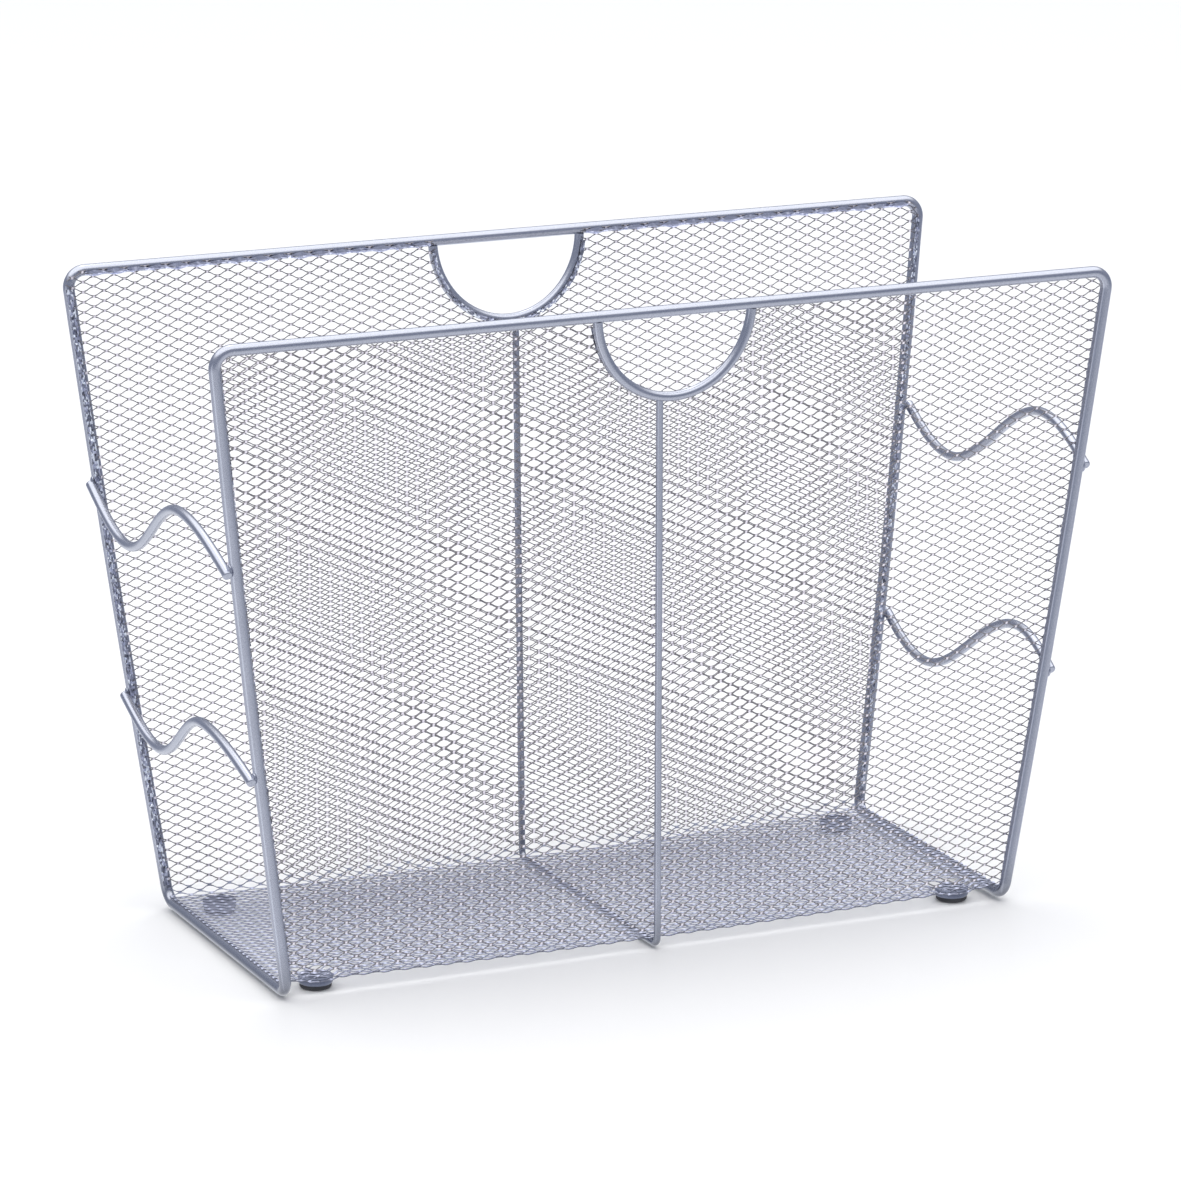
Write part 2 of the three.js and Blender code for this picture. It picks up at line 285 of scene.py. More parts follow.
def on_panel(side, x, z, inset):
    """A point inset from a panel's centre plane; side is -1 for the front panel, 1 for the rear."""
    plane_y = BASE_DEPTH / 2 + PANEL_SLOPE * (z - BOTTOM_Z)
    return np.array([x, side * (plane_y - inset / math.cos(LEAN)), z])


# ---------------------------------------------------------------- materials
def new_material(name):
    material = bpy.data.materials.new(name)
    material.use_nodes = True
    nodes = material.node_tree.nodes
    return material, nodes, material.node_tree.links, nodes["Principled BSDF"]


def noise_texture(nodes, links, scale, detail=3.0, roughness=0.5):
    coordinates = nodes.new("ShaderNodeTexCoord")
    noise = nodes.new("ShaderNodeTexNoise")
    noise.inputs["Scale"].default_value = scale
    noise.inputs["Detail"].default_value = detail
    noise.inputs["Roughness"].default_value = roughness
    links.new(coordinates.outputs["Object"], noise.inputs["Vector"])
    return noise


def map_range(nodes, links, source, low, high, from_low=0.3, from_high=0.7):
    node = nodes.new("ShaderNodeMapRange")
    node.inputs["From Min"].default_value = from_low
    node.inputs["From Max"].default_value = from_high
    node.inputs["To Min"].default_value = low
    node.inputs["To Max"].default_value = high
    links.new(source, node.inputs["Value"])
    return node.outputs["Result"]


def mix_colour(nodes, links, factor, first, second):
    node = nodes.new("ShaderNodeMix")
    node.data_type = "RGBA"
    node.inputs["A"].default_value = (*first, 1)
    node.inputs["B"].default_value = (*second, 1)
    links.new(factor, node.inputs["Factor"])
    return node.outputs["Result"]


def math_node(nodes, links, kind, operation, first, second):
    """A Math or VectorMath node that takes two sockets, or a socket and a constant."""
    node = nodes.new(f"ShaderNode{kind}")
    node.operation = operation
    links.new(first, node.inputs[0])
    if isinstance(second, tuple):
        node.inputs[1].default_value = second
    else:
        links.new(second, node.inputs[1])
    return node.outputs


def add_bump(nodes, links, shader, height, strength, distance):
    bump = nodes.new("ShaderNodeBump")
    bump.inputs["Strength"].default_value = strength
    bump.inputs["Distance"].default_value = distance
    links.new(height, bump.inputs["Height"])
    links.new(bump.outputs["Normal"], shader.inputs["Normal"])


def tone_with_painted_light(nodes, links):
    """The mesh's own face attribute, "tone": painted highlights and painted shade, and random tones on the
    crushed hems.
    """
    attribute = nodes.new("ShaderNodeAttribute")
    attribute.attribute_name = "tone"
    return attribute.outputs["Fac"]


def low_shade(nodes, links):
    """Full tone, but less on the undersides of the lowest wires, which face the shaded ground."""
    place = nodes.new("ShaderNodeTexCoord")
    height, facing = nodes.new("ShaderNodeSeparateXYZ"), nodes.new("ShaderNodeSeparateXYZ")
    links.new(place.outputs["Object"], height.inputs["Vector"])
    links.new(place.outputs["Normal"], facing.inputs["Vector"])
    low = map_range(nodes, links, height.outputs["Z"], 1.0, 0.0, BOTTOM_Z - WIRE, SHADED_HEIGHT)
    down = map_range(nodes, links, facing.outputs["Z"], 1.0, 0.25, -0.6, 0.6)
    both = math_node(nodes, links, "Math", "MULTIPLY", low, down)["Value"]
    return map_range(nodes, links, both, 1.0, SHADED_TONE, 0.0, 1.0)


def lacquer(name, light, dark, roughness, metallic, toned=None):
    """Satin silver lacquer: metal flake, a little orange peel, and cloudy gloss.

    toned is the function that gives the tone by which the colour is multiplied, which carries painted light
    and shade."""
    material, nodes, links, shader = new_material(name)
    flake = noise_texture(nodes, links, 2600, 1.0)
    cloud = noise_texture(nodes, links, 45, 4.0)
    peel = noise_texture(nodes, links, 520, 2.0)
    colour = mix_colour(nodes, links, map_range(nodes, links, flake.outputs["Fac"], 0.0, 1.0), dark, light)
    if toned:
        colour = math_node(nodes, links, "VectorMath", "MULTIPLY", colour, toned(nodes, links))["Vector"]
    links.new(colour, shader.inputs["Base Color"])
    gloss = map_range(nodes, links, cloud.outputs["Fac"], roughness - 0.05, roughness + 0.06)
    links.new(gloss, shader.inputs["Roughness"])
    shader.inputs["Metallic"].default_value = metallic
    shader.inputs["Coat Weight"].default_value = 0.25
    shader.inputs["Coat Roughness"].default_value = 0.18
    add_bump(nodes, links, shader, peel.outputs["Fac"], 0.06, 0.1 * MM)
    return material


def rubber(name):
    """Matt dark rubber with a fine grain and a little dust."""
    material, nodes, links, shader = new_material(name)
    grain = noise_texture(nodes, links, 1800, 3.0)
    dust = noise_texture(nodes, links, 160, 4.0)
    dustiness = map_range(nodes, links, dust.outputs["Fac"], 0.0, 1.0)
    colour = mix_colour(nodes, links, dustiness, (0.035, 0.035, 0.04), (0.06, 0.06, 0.066))
    links.new(colour, shader.inputs["Base Color"])
    links.new(map_range(nodes, links, grain.outputs["Fac"], 0.62, 0.82), shader.inputs["Roughness"])
    add_bump(nodes, links, shader, grain.outputs["Fac"], 0.25, 0.05 * MM)
    return material


SHADED_TONE = 0.3  # at the very bottom; the shade fades out up to SHADED_HEIGHT
SHADED_HEIGHT = 24 * MM
WIRE_LACQUER = lacquer("wire_lacquer", (0.475, 0.495, 0.57), (0.4, 0.42, 0.495), 0.22, 0.9, low_shade)
# The panels' lacquer and its bluer, darker copy on the base and the hems are lit and shaded copies of one
# sheet lacquer: the copy is painted shade
SHEET_LACQUER = lacquer("sheet_lacquer", (0.5, 0.475, 0.51), (0.43, 0.405, 0.44), 0.38, 0.85, tone_with_painted_light)
SHADED_SHEET_LACQUER = lacquer(
    "shaded_sheet_lacquer", (0.42, 0.44, 0.55), (0.34, 0.36, 0.47), 0.46, 0.85, tone_with_painted_light
)
# The discs' lacquer is painted much darker than the frame's: painted shade for their place under the base
SHADED_PLATE_LACQUER = lacquer("shaded_plate_lacquer", (0.2, 0.22, 0.3), (0.14, 0.16, 0.23), 0.45, 0.6)
PAD_RUBBER = rubber("pad_rubber")


def finish_piece(piece, material, slot, *nodes):
    """Gives a piece its material, and says which body it rides on and which CAD nodes it replaces."""
    piece.data.materials.append(material)
    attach(piece, "root")
    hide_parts(*nodes)


# ---------------------------------------------------------------- wires
def frame_half(panel, side):
    """An inverted U: the rail, the uprights that bow outward, and half of each bottom wire."""
    left, right = (
        [
            np.array([end * BASE_LENGTH / 2, 0.0, BOTTOM_Z]),
            on_panel(side, end * BASE_LENGTH / 2, BOTTOM_Z, 0),
            on_panel(side, end * TOP_LENGTH / 2, RAIL_Z, 0),
        ]
        for end in (-1, 1)
    )
    left_bend = bent_line(left, BOTTOM_BEND)
    right_bend = bent_line(right, BOTTOM_BEND)[::-1]
    rail = bent_line([left[1], left[2], right[2], right[1]], TOP_BEND)
    points = split_long_runs(left_bend[:-1] + rail[1:-1] + right_bend[1:], LONGEST_RUN)
    for point in points:
        point[0] += math.copysign(bow_at(point[2]), point[0])
    piece = tube(f"frame_wire_{panel}", points, WIRE, sides=32)
    finish_piece(piece, WIRE_LACQUER, "wire", f"frame_{panel}")


def handle_arc(panel, side):
    """Half an ellipse that hangs in the panel's plane, its ends welded under the rail."""
    points = []
    first = math.asin((WIRE - WELD_SINK) / ARC_DROP)
    for step in range(ARC_STEPS + 1):
        angle = first + (math.pi - 2 * first) * step / ARC_STEPS
        drop = ARC_DROP * math.sin(angle) * math.cos(LEAN)
        points.append(on_panel(side, -ARC_HALF_WIDTH * math.cos(angle), RAIL_Z - drop, ARC_INSET))
    piece = tube(f"handle_arc_wire_{panel}", points, ARC_WIRE)
    finish_piece(piece, WIRE_LACQUER, "wire", f"handle_arc_{panel}")


def centre_wire():
    """A U from the front arc, down the front panel, under the base and up to the rear arc."""
    def top(side, x):
        arc_drop = ARC_DROP * math.sqrt(1 - (x / ARC_HALF_WIDTH) ** 2)
        drop = (arc_drop + ARC_WIRE - WELD_SINK) * math.cos(LEAN)
        return on_panel(side, x, RAIL_Z - drop, CENTRE_INSET)

    base_z = BOTTOM_Z - CENTRE_BASE_DROP
    corners = [
        top(-1, CENTRE_FRONT_TOP_X),
        on_panel(-1, CENTRE_FRONT_BASE_X, base_z, CENTRE_INSET),
        on_panel(1, CENTRE_REAR_BASE_X, base_z, CENTRE_INSET),
        top(1, CENTRE_REAR_TOP_X),
    ]
    points = split_long_runs(bent_line(corners, CENTRE_BEND), LONGEST_CENTRE_RUN)
    piece = tube("centre_wire_visual", points, CENTRE_WIRE, sides=20)
    finish_piece(piece, WIRE_LACQUER, "wire", "centre_wire")


def wave_ends(wave):
    """Y of the uprights' centres at a wave's middle height, and of its rear and front tips, in mm."""
    upright_y = (BASE_DEPTH / 2 + PANEL_SLOPE * wave.height * MM) / MM
    return upright_y, upright_y + wave.rear_tip[0], -upright_y - wave.front_tip[0]


def wave_z(y, wave):
    """A wave's height at y (in mm): half a cosine from trough to crest, a quarter outside them."""
    _, rear_y, front_y = wave_ends(wave)
    if wave.crest <= y <= wave.trough:
        rise = -wave.swing * math.cos(math.pi * (wave.trough - y) / (wave.trough - wave.crest))
    else:
        if y > wave.trough:
            turn, tip, t = -wave.swing, wave.rear_tip[1], (y - wave.trough) / (rear_y - wave.trough)
        else:
            turn, tip, t = wave.swing, wave.front_tip[1], (y - wave.crest) / (front_y - wave.crest)
        rise = turn + (tip - turn) * (1 - math.cos(math.pi / 2 * t))
    return BOTTOM_Z + (wave.height + rise) * MM


def wave_wire(hand, end, level):
    wave = WAVES[hand, level]
    _, rear_y, front_y = wave_ends(wave)
    points = []
    for step in range(WAVE_STEPS + 1):
        y = rear_y + (front_y - rear_y) * step / WAVE_STEPS
        z = wave_z(y, wave)
        stand = (WIRE + WAVE_WIRE - WELD_SINK) / math.cos(math.atan(END_SLOPE)) + bow_at(z)
        points.append(np.array([end * (end_x(z) + stand), y * MM, z]))
    piece = tube(f"wave_{hand}_{level}", points, WAVE_WIRE, end_round=WAVE_END_ROUND)
    finish_piece(piece, WIRE_LACQUER, "wire", f"wave_wire_{hand}_{level}")


def weld_bead(name, centre, node, seed):
    """A small lumpy bead of weld metal where two wires touch."""
    rng = np.random.default_rng(seed)
    shape = bmesh.new()
    bmesh.ops.create_icosphere(shape, subdivisions=3, radius=1)
    lumps = [(rng.normal(size=3), rng.uniform(*WELD_LUMP_SIZES)) for _ in range(WELD_LUMPS)]
    for vertex in shape.verts:
        direction = np.array(vertex.co)
        swell = 1 + sum(size * max(0.0, float(direction @ unit(lump))) ** 3 for lump, size in lumps)
        vertex.co = Vector(centre + direction * swell * np.array(WELD_RADII))
    mesh = bpy.data.meshes.new(name)
    shape.to_mesh(mesh)
    shape.free()
    mesh.polygons.foreach_set("use_smooth", [True] * len(mesh.polygons))
    bead = bpy.data.objects.new(name, mesh)
    bpy.context.scene.collection.objects.link(bead)
    finish_piece(bead, WIRE_LACQUER, "wire", node)


def wave_welds(hand, end, level):
    """A bead at each end of a wave, where it meets the front and the rear upright."""
    wave = WAVES[hand, level]
    upright_y, rear_y, _ = wave_ends(wave)
    for panel, side in (("front", -1), ("rear", 1)):
        z = wave_z(side * min(upright_y, rear_y), wave)
        y = side * (BASE_DEPTH / 2 + PANEL_SLOPE * (z - BOTTOM_Z))
        x = end * (end_x(z) + bow_at(z) + WIRE)
        seed = WELD_SEED + 4 * (end > 0) + 2 * (side > 0) + (level == "upper")
        name = f"weld_{hand}_{level}_{panel}"
        weld_bead(name, np.array([x, y, z]), f"wave_wire_{hand}_{level}", seed)


# ---------------------------------------------------------------- expanded metal
FOLD_RADIUS = BOTTOM_BEND - SHEET_INSET
FOLD_TURN = math.pi / 2 - LEAN
FOLD_Y = BASE_DEPTH / 2 + PANEL_SLOPE * SHEET_INSET - SHEET_INSET / math.cos(LEAN)
FLAT_HALF = FOLD_Y - FOLD_RADIUS * math.tan(FOLD_TURN / 2)
FOLD_END = FLAT_HALF + FOLD_RADIUS * FOLD_TURN
PANEL_FOOT_Z = BOTTOM_Z + SHEET_INSET + FOLD_RADIUS * (1 - math.cos(FOLD_TURN))
RAIL_V = FOLD_END + (RAIL_Z - PANEL_FOOT_Z) / math.sin(FOLD_TURN)


def fold(v):
    """Where v along the folded sheet lies, from -RAIL_V at the front rail through 0 under the middle.

    Returns y, z and the direction square to the sheet that points out of the U, as (y, z)."""
    side, way = np.sign(v), np.abs(v)
    bend = np.clip((way - FLAT_HALF) / FOLD_RADIUS, 0, FOLD_TURN)
    panel = np.clip(way - FOLD_END, 0, None)
    y = np.minimum(way, FLAT_HALF) + FOLD_RADIUS * np.sin(bend) + panel * math.cos(FOLD_TURN)
    z = BOTTOM_Z + SHEET_INSET + FOLD_RADIUS * (1 - np.cos(bend)) + panel * math.sin(FOLD_TURN)
    return side * y, z, side * np.sin(bend), -np.cos(bend)


def sag_at(x):
    """How much lower the sheet hangs between the ends than at them."""
    return SHEET_SAG * np.clip(1 - (2 * x / BASE_LENGTH) ** 2, 0, 1)


def dent_at(x, y):
    """How much lower the sheet hangs at (x, y) in the rings round the front feet."""
    depth = np.zeros_like(x)
    for hand in ("left", "right"):
        low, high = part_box(f"foot_plate_front_{hand}")
        reach = np.hypot(x - (low[0] + high[0]) / 2, y - (low[1] + high[1]) / 2)
        depth = np.maximum(depth, DENT * np.exp(-(((reach - DENT_RADIUS) / DENT_WIDTH) ** 2)))
    return depth


def edge_distances(x, v):
    """Distances in from the sheet's side edges, its top edges and the cut-outs for the handle arcs."""
    _, z, _, _ = fold(v)
    side_edge = np.where(np.abs(v) > FOLD_END, SIDE_EDGE, SHEET_EDGE)
    side_edge = np.where((v > FOLD_END) & (x < 0), REAR_LEFT_EDGE, side_edge)
    sides = (end_x(z) + bow_at(z) + side_edge - np.abs(x)) * math.cos(math.atan(END_SLOPE))
    top = RAIL_V + SHEET_EDGE - np.abs(v)
    below_rail = np.clip(RAIL_V - np.abs(v), 0, None)
    reach = np.sqrt((x / ARC_HALF_WIDTH) ** 2 + (below_rail / ARC_DROP) ** 2)
    arc = (reach - 1) * (ARC_HALF_WIDTH + ARC_DROP) / 2
    return sides, top, arc


def inside(x, v):
    """Distance in from the sheet's nearest edge, with its top corners rounded as the frame's bends are."""
    sides, top, arc = edge_distances(x, v)
    corner = TOP_BEND + SHEET_EDGE
    near = (sides < corner) & (top < corner)
    rounded = corner - np.hypot(corner - sides, corner - top)
    return np.minimum(np.where(near, rounded, np.minimum(sides, top)), arc)


def expanded_pattern(v_low, v_high, x_low, x_high, strand_tone, bond_tone):
    """The flat pattern: x, v and height off the sheet for each vertex, and its quads with their tones.

    Each bond is two strands wide; each strand leaves it level and swings over to the next row."""
    index = {}
    spots = []
    rows = range(math.floor(v_low / (SHORT_WAY / 2)) - 1, math.ceil(v_high / (SHORT_WAY / 2)) + 2)
    columns = range(math.floor(x_low / (LONG_WAY / 2)) - 1, math.ceil(x_high / (LONG_WAY / 2)) + 2)
    for row in rows:
        for column in columns:
            if (row + column) % 2 == 0:
                index[row, column] = len(spots)
                spots.append((column * LONG_WAY / 2, row * SHORT_WAY / 2))
    rise, lift = BOND_HALF * math.cos(STRAND_TILT), BOND_HALF * math.sin(STRAND_TILT)
    points = [
        (x + end * BOND / 2, v + level * rise, level * lift)
        for x, v in spots for end in (-1, 1) for level in (1, 0, -1)
    ]

    def vertex(spot, end, level):
        return spot * 6 + (3 if end > 0 else 0) + (1 - level)

    # Bond tones are painted highlights, strand tones painted shade
    quads, tones = [], []
    for (row, column), spot in index.items():
        for level in (1, 0):
            quads.append((
                vertex(spot, -1, level), vertex(spot, -1, level - 1),
                vertex(spot, 1, level - 1), vertex(spot, 1, level),
            ))
            tones.append(bond_tone)
        for row_step, start, stop in ((1, (1, 0), (0, -1)), (-1, (0, -1), (1, 0))):
            other = index.get((row + row_step, column + 1))
            if other is None:
                continue
            edges = [
                (np.array(points[vertex(spot, 1, a)]), np.array(points[vertex(other, -1, b)]))
                for a, b in zip(start, stop)
            ]
            previous = [vertex(spot, 1, level) for level in start]
            for along, across in STRAND_SWING:
                middles = [first + (last - first) * across for first, last in edges]
                centre = (middles[0] + middles[1]) / 2
                following = []
                for (first, last), middle in zip(edges, middles):
                    following.append(len(points))
                    middle = centre + (middle - centre) * STRAND / BOND_HALF
                    middle[0] = first[0] + (last[0] - first[0]) * along
                    points.append(tuple(middle))
                quads.append((previous[0], previous[1], following[1], following[0]))
                tones.append(strand_tone)
                previous = following
            ending = [vertex(other, -1, level) for level in stop]
            quads.append((previous[0], previous[1], ending[1], ending[0]))
            tones.append(strand_tone)
    return np.array(points), quads, tones


def clip_pattern(points, quads, tones, distance):
    """Keeps the part of each quad where distance is positive, cutting shared edges once."""
    points = [np.array(p) for p in points]
    cuts = {}

    def cut(a, b):
        key = (min(a, b), max(a, b))
        if key not in cuts:
            t = distance[key[0]] / (distance[key[0]] - distance[key[1]])
            cuts[key] = len(points)
            points.append(points[key[0]] + t * (points[key[1]] - points[key[0]]))
        return cuts[key]

    kept, kept_tones = [], []
    for quad, tone in zip(quads, tones):
        signs = [distance[i] > 0 for i in quad]
        if not any(signs):
            continue
        polygon = []
        for a, b, a_in, b_in in zip(quad, quad[1:] + quad[:1], signs, signs[1:] + signs[:1]):
            if a_in:
                polygon.append(a)
            if a_in != b_in:
                polygon.append(cut(a, b))
        if len(polygon) >= 3:
            kept.append(tuple(polygon))
            kept_tones.append(tone)
    return np.array(points), kept, kept_tones


def sheet_solid(name, points, faces, tones, tilt, material):
    """Thickens a flat pattern of (x, v, height) and folds it: two skins, and walls along its free edges."""
    used = sorted({i for face in faces for i in face})
    renumber = {old: new for new, old in enumerate(used)}
    faces = [tuple(renumber[i] for i in face) for face in faces]
    x, v, n = points[used].T
    skins = []
    for half in (0.5, -0.5):
        dv = -math.sin(tilt) * STRAND_THICKNESS * half
        dn = n + math.cos(tilt) * STRAND_THICKNESS * half
        y, z, ny, nz = fold(v)
        drop = sag_at(x) * np.clip(1 - (z - BOTTOM_Z - BOTTOM_BEND) / SAG_FADE, 0, 1)
        low_part = np.clip(1 - (z - BOTTOM_Z - SHEET_INSET) / FOLD_RADIUS, 0, 1)
        drop = drop + dent_at(x, y) * low_part
        y = y - nz * dv + ny * dn - np.sign(v) * PANEL_SLOPE * drop
        skins.append(np.stack([x, y, z + ny * dv + nz * dn - drop], axis=1))
    count = len(x)
    edges = dict.fromkeys((a, b) for face in faces for a, b in zip(face, face[1:] + face[:1]))
    free = [(a, b) for a, b in edges if (b, a) not in edges]
    walls = [(a, a + count, b + count, b) for a, b in free]
    back = [tuple(i + count for i in reversed(face)) for face in faces]
    piece = mesh_object(name, np.concatenate(skins), list(faces) + back + walls, smooth=False)
    # The face tones carry painted highlights and painted shade, or random tones on the crushed hems; the
    # walls take CUT_TONE, painted shade on the cut edges
    tone_layer = piece.data.attributes.new("tone", "FLOAT", "FACE")
    tone_layer.data.foreach_set("value", list(tones) * 2 + [CUT_TONE] * len(walls))
    finish_piece(piece, material, "expanded_sheet", "mesh_sheet")


def mesh_piece(name, v_low, v_high, x_low, x_high, strand_and_bond_tones, material):
    """The expanded metal between two limits along the sheet and two along X."""
    points, quads, tones = expanded_pattern(v_low, v_high, x_low, x_high, *strand_and_bond_tones)
    x, v, _ = points.T
    distance = np.minimum(inside(x, v), np.minimum(v - v_low, v_high - v))
    distance = np.minimum(distance, np.minimum(x - x_low, x_high - x))
    points, faces, tones = clip_pattern(points, quads, tones, distance)
    sheet_solid(name, points, faces, tones, STRAND_TILT, material)


def crushed_strip(name, grid, holes, flip, seed, row_tones=None):
    """A crumpled strip through grid[i][j] = (x, v), with the listed cells left open."""
    rng = np.random.default_rng(seed)
    rows = len(grid[0])
    points = []
    for i, line in enumerate(grid):
        for j, (x, v) in enumerate(line):
            wave = (-1) ** (i // 2 + j) * HEM_CRUMPLE
            points.append((x, v, -HEM_LIFT + wave + rng.normal(0, HEM_CRUMPLE)))
    faces, tones = [], []
    for i in range(len(grid) - 1):
        for j in range(rows - 1):
            if (i, j) not in holes:
                a = i * rows + j
                cell = (a, a + rows, a + rows + 1, a + 1)
                faces.append(cell[::-1] if flip else cell)
                # Row tones, on the rail hems, are painted light; the other hems take random tones
                tones.append(row_tones[j] if row_tones else float(rng.choice(HEM_TONES)))
    sheet_solid(name, np.array(points), faces, tones, 0.0, SHADED_SHEET_LACQUER)


def upright_hem(panel, side, hand, end, seed):
    """A crushed band along an upright, with a row of small holes where diamonds stay open."""
    rng = np.random.default_rng(seed)
    low = FOLD_END + HEM_START
    high = RAIL_V - TOP_BEND
    steps = round((high - low) / (SHORT_WAY / 4))
    outward, reach = HEM_EDGES[panel, hand]
    width = outward + reach
    grid, holes = [], set()
    for i in range(steps + 1):
        v = side * (low + (high - low) * i / steps)
        z = fold(np.array([v]))[1][0]
        edge = end_x(z) + bow_at(z) + outward
        line = []
        for share in UPRIGHT_HEM_SHARES:
            shift = 0.0 if share in (0, 1) else float(rng.normal(0, HEM_JITTER))
            line.append((end * (edge - share * width + shift), v + float(rng.normal(0, HEM_JITTER))))
        grid.append(line)
        if i % 4 == 1:
            holes.add((i, int(rng.integers(1, 5))))
        if i % 4 == 3 and rng.random() < UPRIGHT_HOLE_CHANCE:
            holes.add((i, 3))
    crushed_strip(f"hem_{panel}_{hand}", grid, holes, side * end < 0, seed)


def arc_hem(panel, side, seed):
    """A crushed band round the outside of a handle arc."""
    rng = np.random.default_rng(seed)
    first, last = ARC_HEM_SPAN
    grid, holes = [], set()
    for i in range(ARC_HEM_STEPS + 1):
        angle = math.pi * (first + (last - first) * i / ARC_HEM_STEPS)
        line = []
        for share in ARC_HEM_SHARES:
            width = share * ARC_HEM_WIDTH
            x = -(ARC_HALF_WIDTH + width) * math.cos(angle)
            line.append((x, side * (RAIL_V - (ARC_DROP + width) * math.sin(angle))))
        grid.append(line)
        if i % 3 == 1 and rng.random() < ARC_HOLE_CHANCE:
            holes.add((i, int(rng.integers(0, 3))))
    crushed_strip(f"hem_arc_{panel}", grid, holes, side < 0, seed)


def rail_hem(panel, side, hand, end, seed):
    """Along the rail, the last diamonds are flattened to a row of lens shapes over a thin lip."""
    start = ARC_HALF_WIDTH + RAIL_HEM_START
    stop = TOP_LENGTH / 2 - TOP_BEND
    rng = np.random.default_rng(seed + 1)
    holes = set()
    steps = LENS_STEPS * round((stop - start) / LONG_WAY)
    grid = []
    for i in range(steps + 1):
        x = start + (stop - start) * i / steps
        if i % LENS_STEPS == 0:
            size = float(rng.uniform(*LENS_SIZES)) * LENS_HALF_HEIGHT
            if rng.random() < LENS_HOLE_CHANCES[0]:
                holes |= {(i + step, 1) for step in range(5, LENS_STEPS)}
            if rng.random() < LENS_HOLE_CHANCES[1]:
                holes |= {(i + step, 2) for step in range(1, 5)}
        swell = LENS_WAIST + math.sin(math.pi * (i % LENS_STEPS) / LENS_STEPS) * size
        levels = [LENS_DEPTH + offset for offset in (-swell, swell * 0.4, swell, swell + LIP)]
        grid.append([(end * x, side * (RAIL_V - level)) for level in levels])
    crushed_strip(f"hem_rail_{panel}_{hand}", grid, holes, side * end > 0, seed, RAIL_HEM_TONES)


# ---------------------------------------------------------------- feet
def turned(name, profile, centre, sides=64):
    """A solid turned from (radius, z) points, the first and last on the axis."""
    vertices = [(centre[0], centre[1], profile[0][1])]
    for radius, z in profile[1:-1]:
        for side in range(sides):
            angle = 2 * math.pi * side / sides
            x, y = centre[0] + radius * math.cos(angle), centre[1] + radius * math.sin(angle)
            vertices.append((x, y, z))
    vertices.append((centre[0], centre[1], profile[-1][1]))
    last = len(vertices) - 1
    faces = []
    rings = len(profile) - 2
    for side in range(sides):
        after = (side + 1) % sides
        faces.append((0, 1 + after, 1 + side))
        for ring in range(rings - 1):
            a, b = 1 + ring * sides + side, 1 + ring * sides + after
            faces.append((a, b, b + sides, a + sides))
        top = 1 + (rings - 1) * sides
        faces.append((last, top + side, top + after))
    return mesh_object(name, vertices, faces)


def round_rim(radius, z, rounding, start, end, steps=6):
    """Points of an edge rounded about (radius, z), from start to end degrees."""
    points = []
    for step in range(steps + 1):
        angle = math.radians(start + (end - start) * step / steps)
        points.append((radius + rounding * math.cos(angle), z + rounding * math.sin(angle)))
    return points


def foot_pad(name, node):
    """The rubber pad: a soft sole with a shallow hollow, and a shoulder under the disc's rim."""
    (low_x, low_y, low_z), (high_x, high_y, high_z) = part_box(node)
    radius = (high_x - low_x) / 2 - PAD_INSET
    top = high_z + PAD_INSET
    hollow, sole = (radius * share for share in PAD_HOLLOW_SHARES)
    profile = [(0, low_z + PAD_HOLLOW), (hollow, low_z + PAD_HOLLOW), (sole, 0)]
    profile += round_rim(radius - PAD_SOLE_ROUND, low_z + PAD_SOLE_ROUND, PAD_SOLE_ROUND, -90, 0)
    shoulder = radius - PAD_SHOULDER_ROUND - PAD_SHOULDER_INSET
    profile += round_rim(shoulder, top - PAD_SHOULDER_ROUND, PAD_SHOULDER_ROUND, 0, 90)
    profile += [(0, top)]
    pad = turned(name, profile, ((low_x + high_x) / 2, (low_y + high_y) / 2))
    finish_piece(pad, PAD_RUBBER, "foot_pad", node)


def foot_disc(name, node, pad_node):
    """The steel disc, centred over its pad."""
    (low_x, _, low_z), (high_x, _, high_z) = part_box(node)
    pad_low, pad_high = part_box(pad_node)
    radius = (high_x - low_x) / 2
    skirt = low_z - SKIRT
    profile = [(0, skirt)]
    profile += round_rim(radius - DISC_RIM_ROUND, skirt + DISC_RIM_ROUND, DISC_RIM_ROUND, -90, 0)
    profile += round_rim(radius - DISC_TOP_ROUND, high_z - DISC_TOP_ROUND, DISC_TOP_ROUND, 0, 90)
    profile += [(0, high_z)]
    disc = turned(name, profile, ((pad_low[0] + pad_high[0]) / 2, (pad_low[1] + pad_high[1]) / 2))
    finish_piece(disc, SHADED_PLATE_LACQUER, "foot_plate", node)


# ---------------------------------------------------------------- the object
for panel, side in (("front", -1), ("rear", 1)):
    frame_half(panel, side)
    handle_arc(panel, side)
    for hand in ("left", "right"):
        place = f"{panel}_{hand}"
        foot_pad(f"rubber_pad_{place}", f"foot_pad_{place}")
        foot_disc(f"foot_disc_{place}", f"foot_plate_{place}", f"foot_pad_{place}")
centre_wire()
for hand, end in (("left", -1), ("right", 1)):
    for level in ("upper", "lower"):
        wave_wire(hand, end, level)
        wave_welds(hand, end, level)

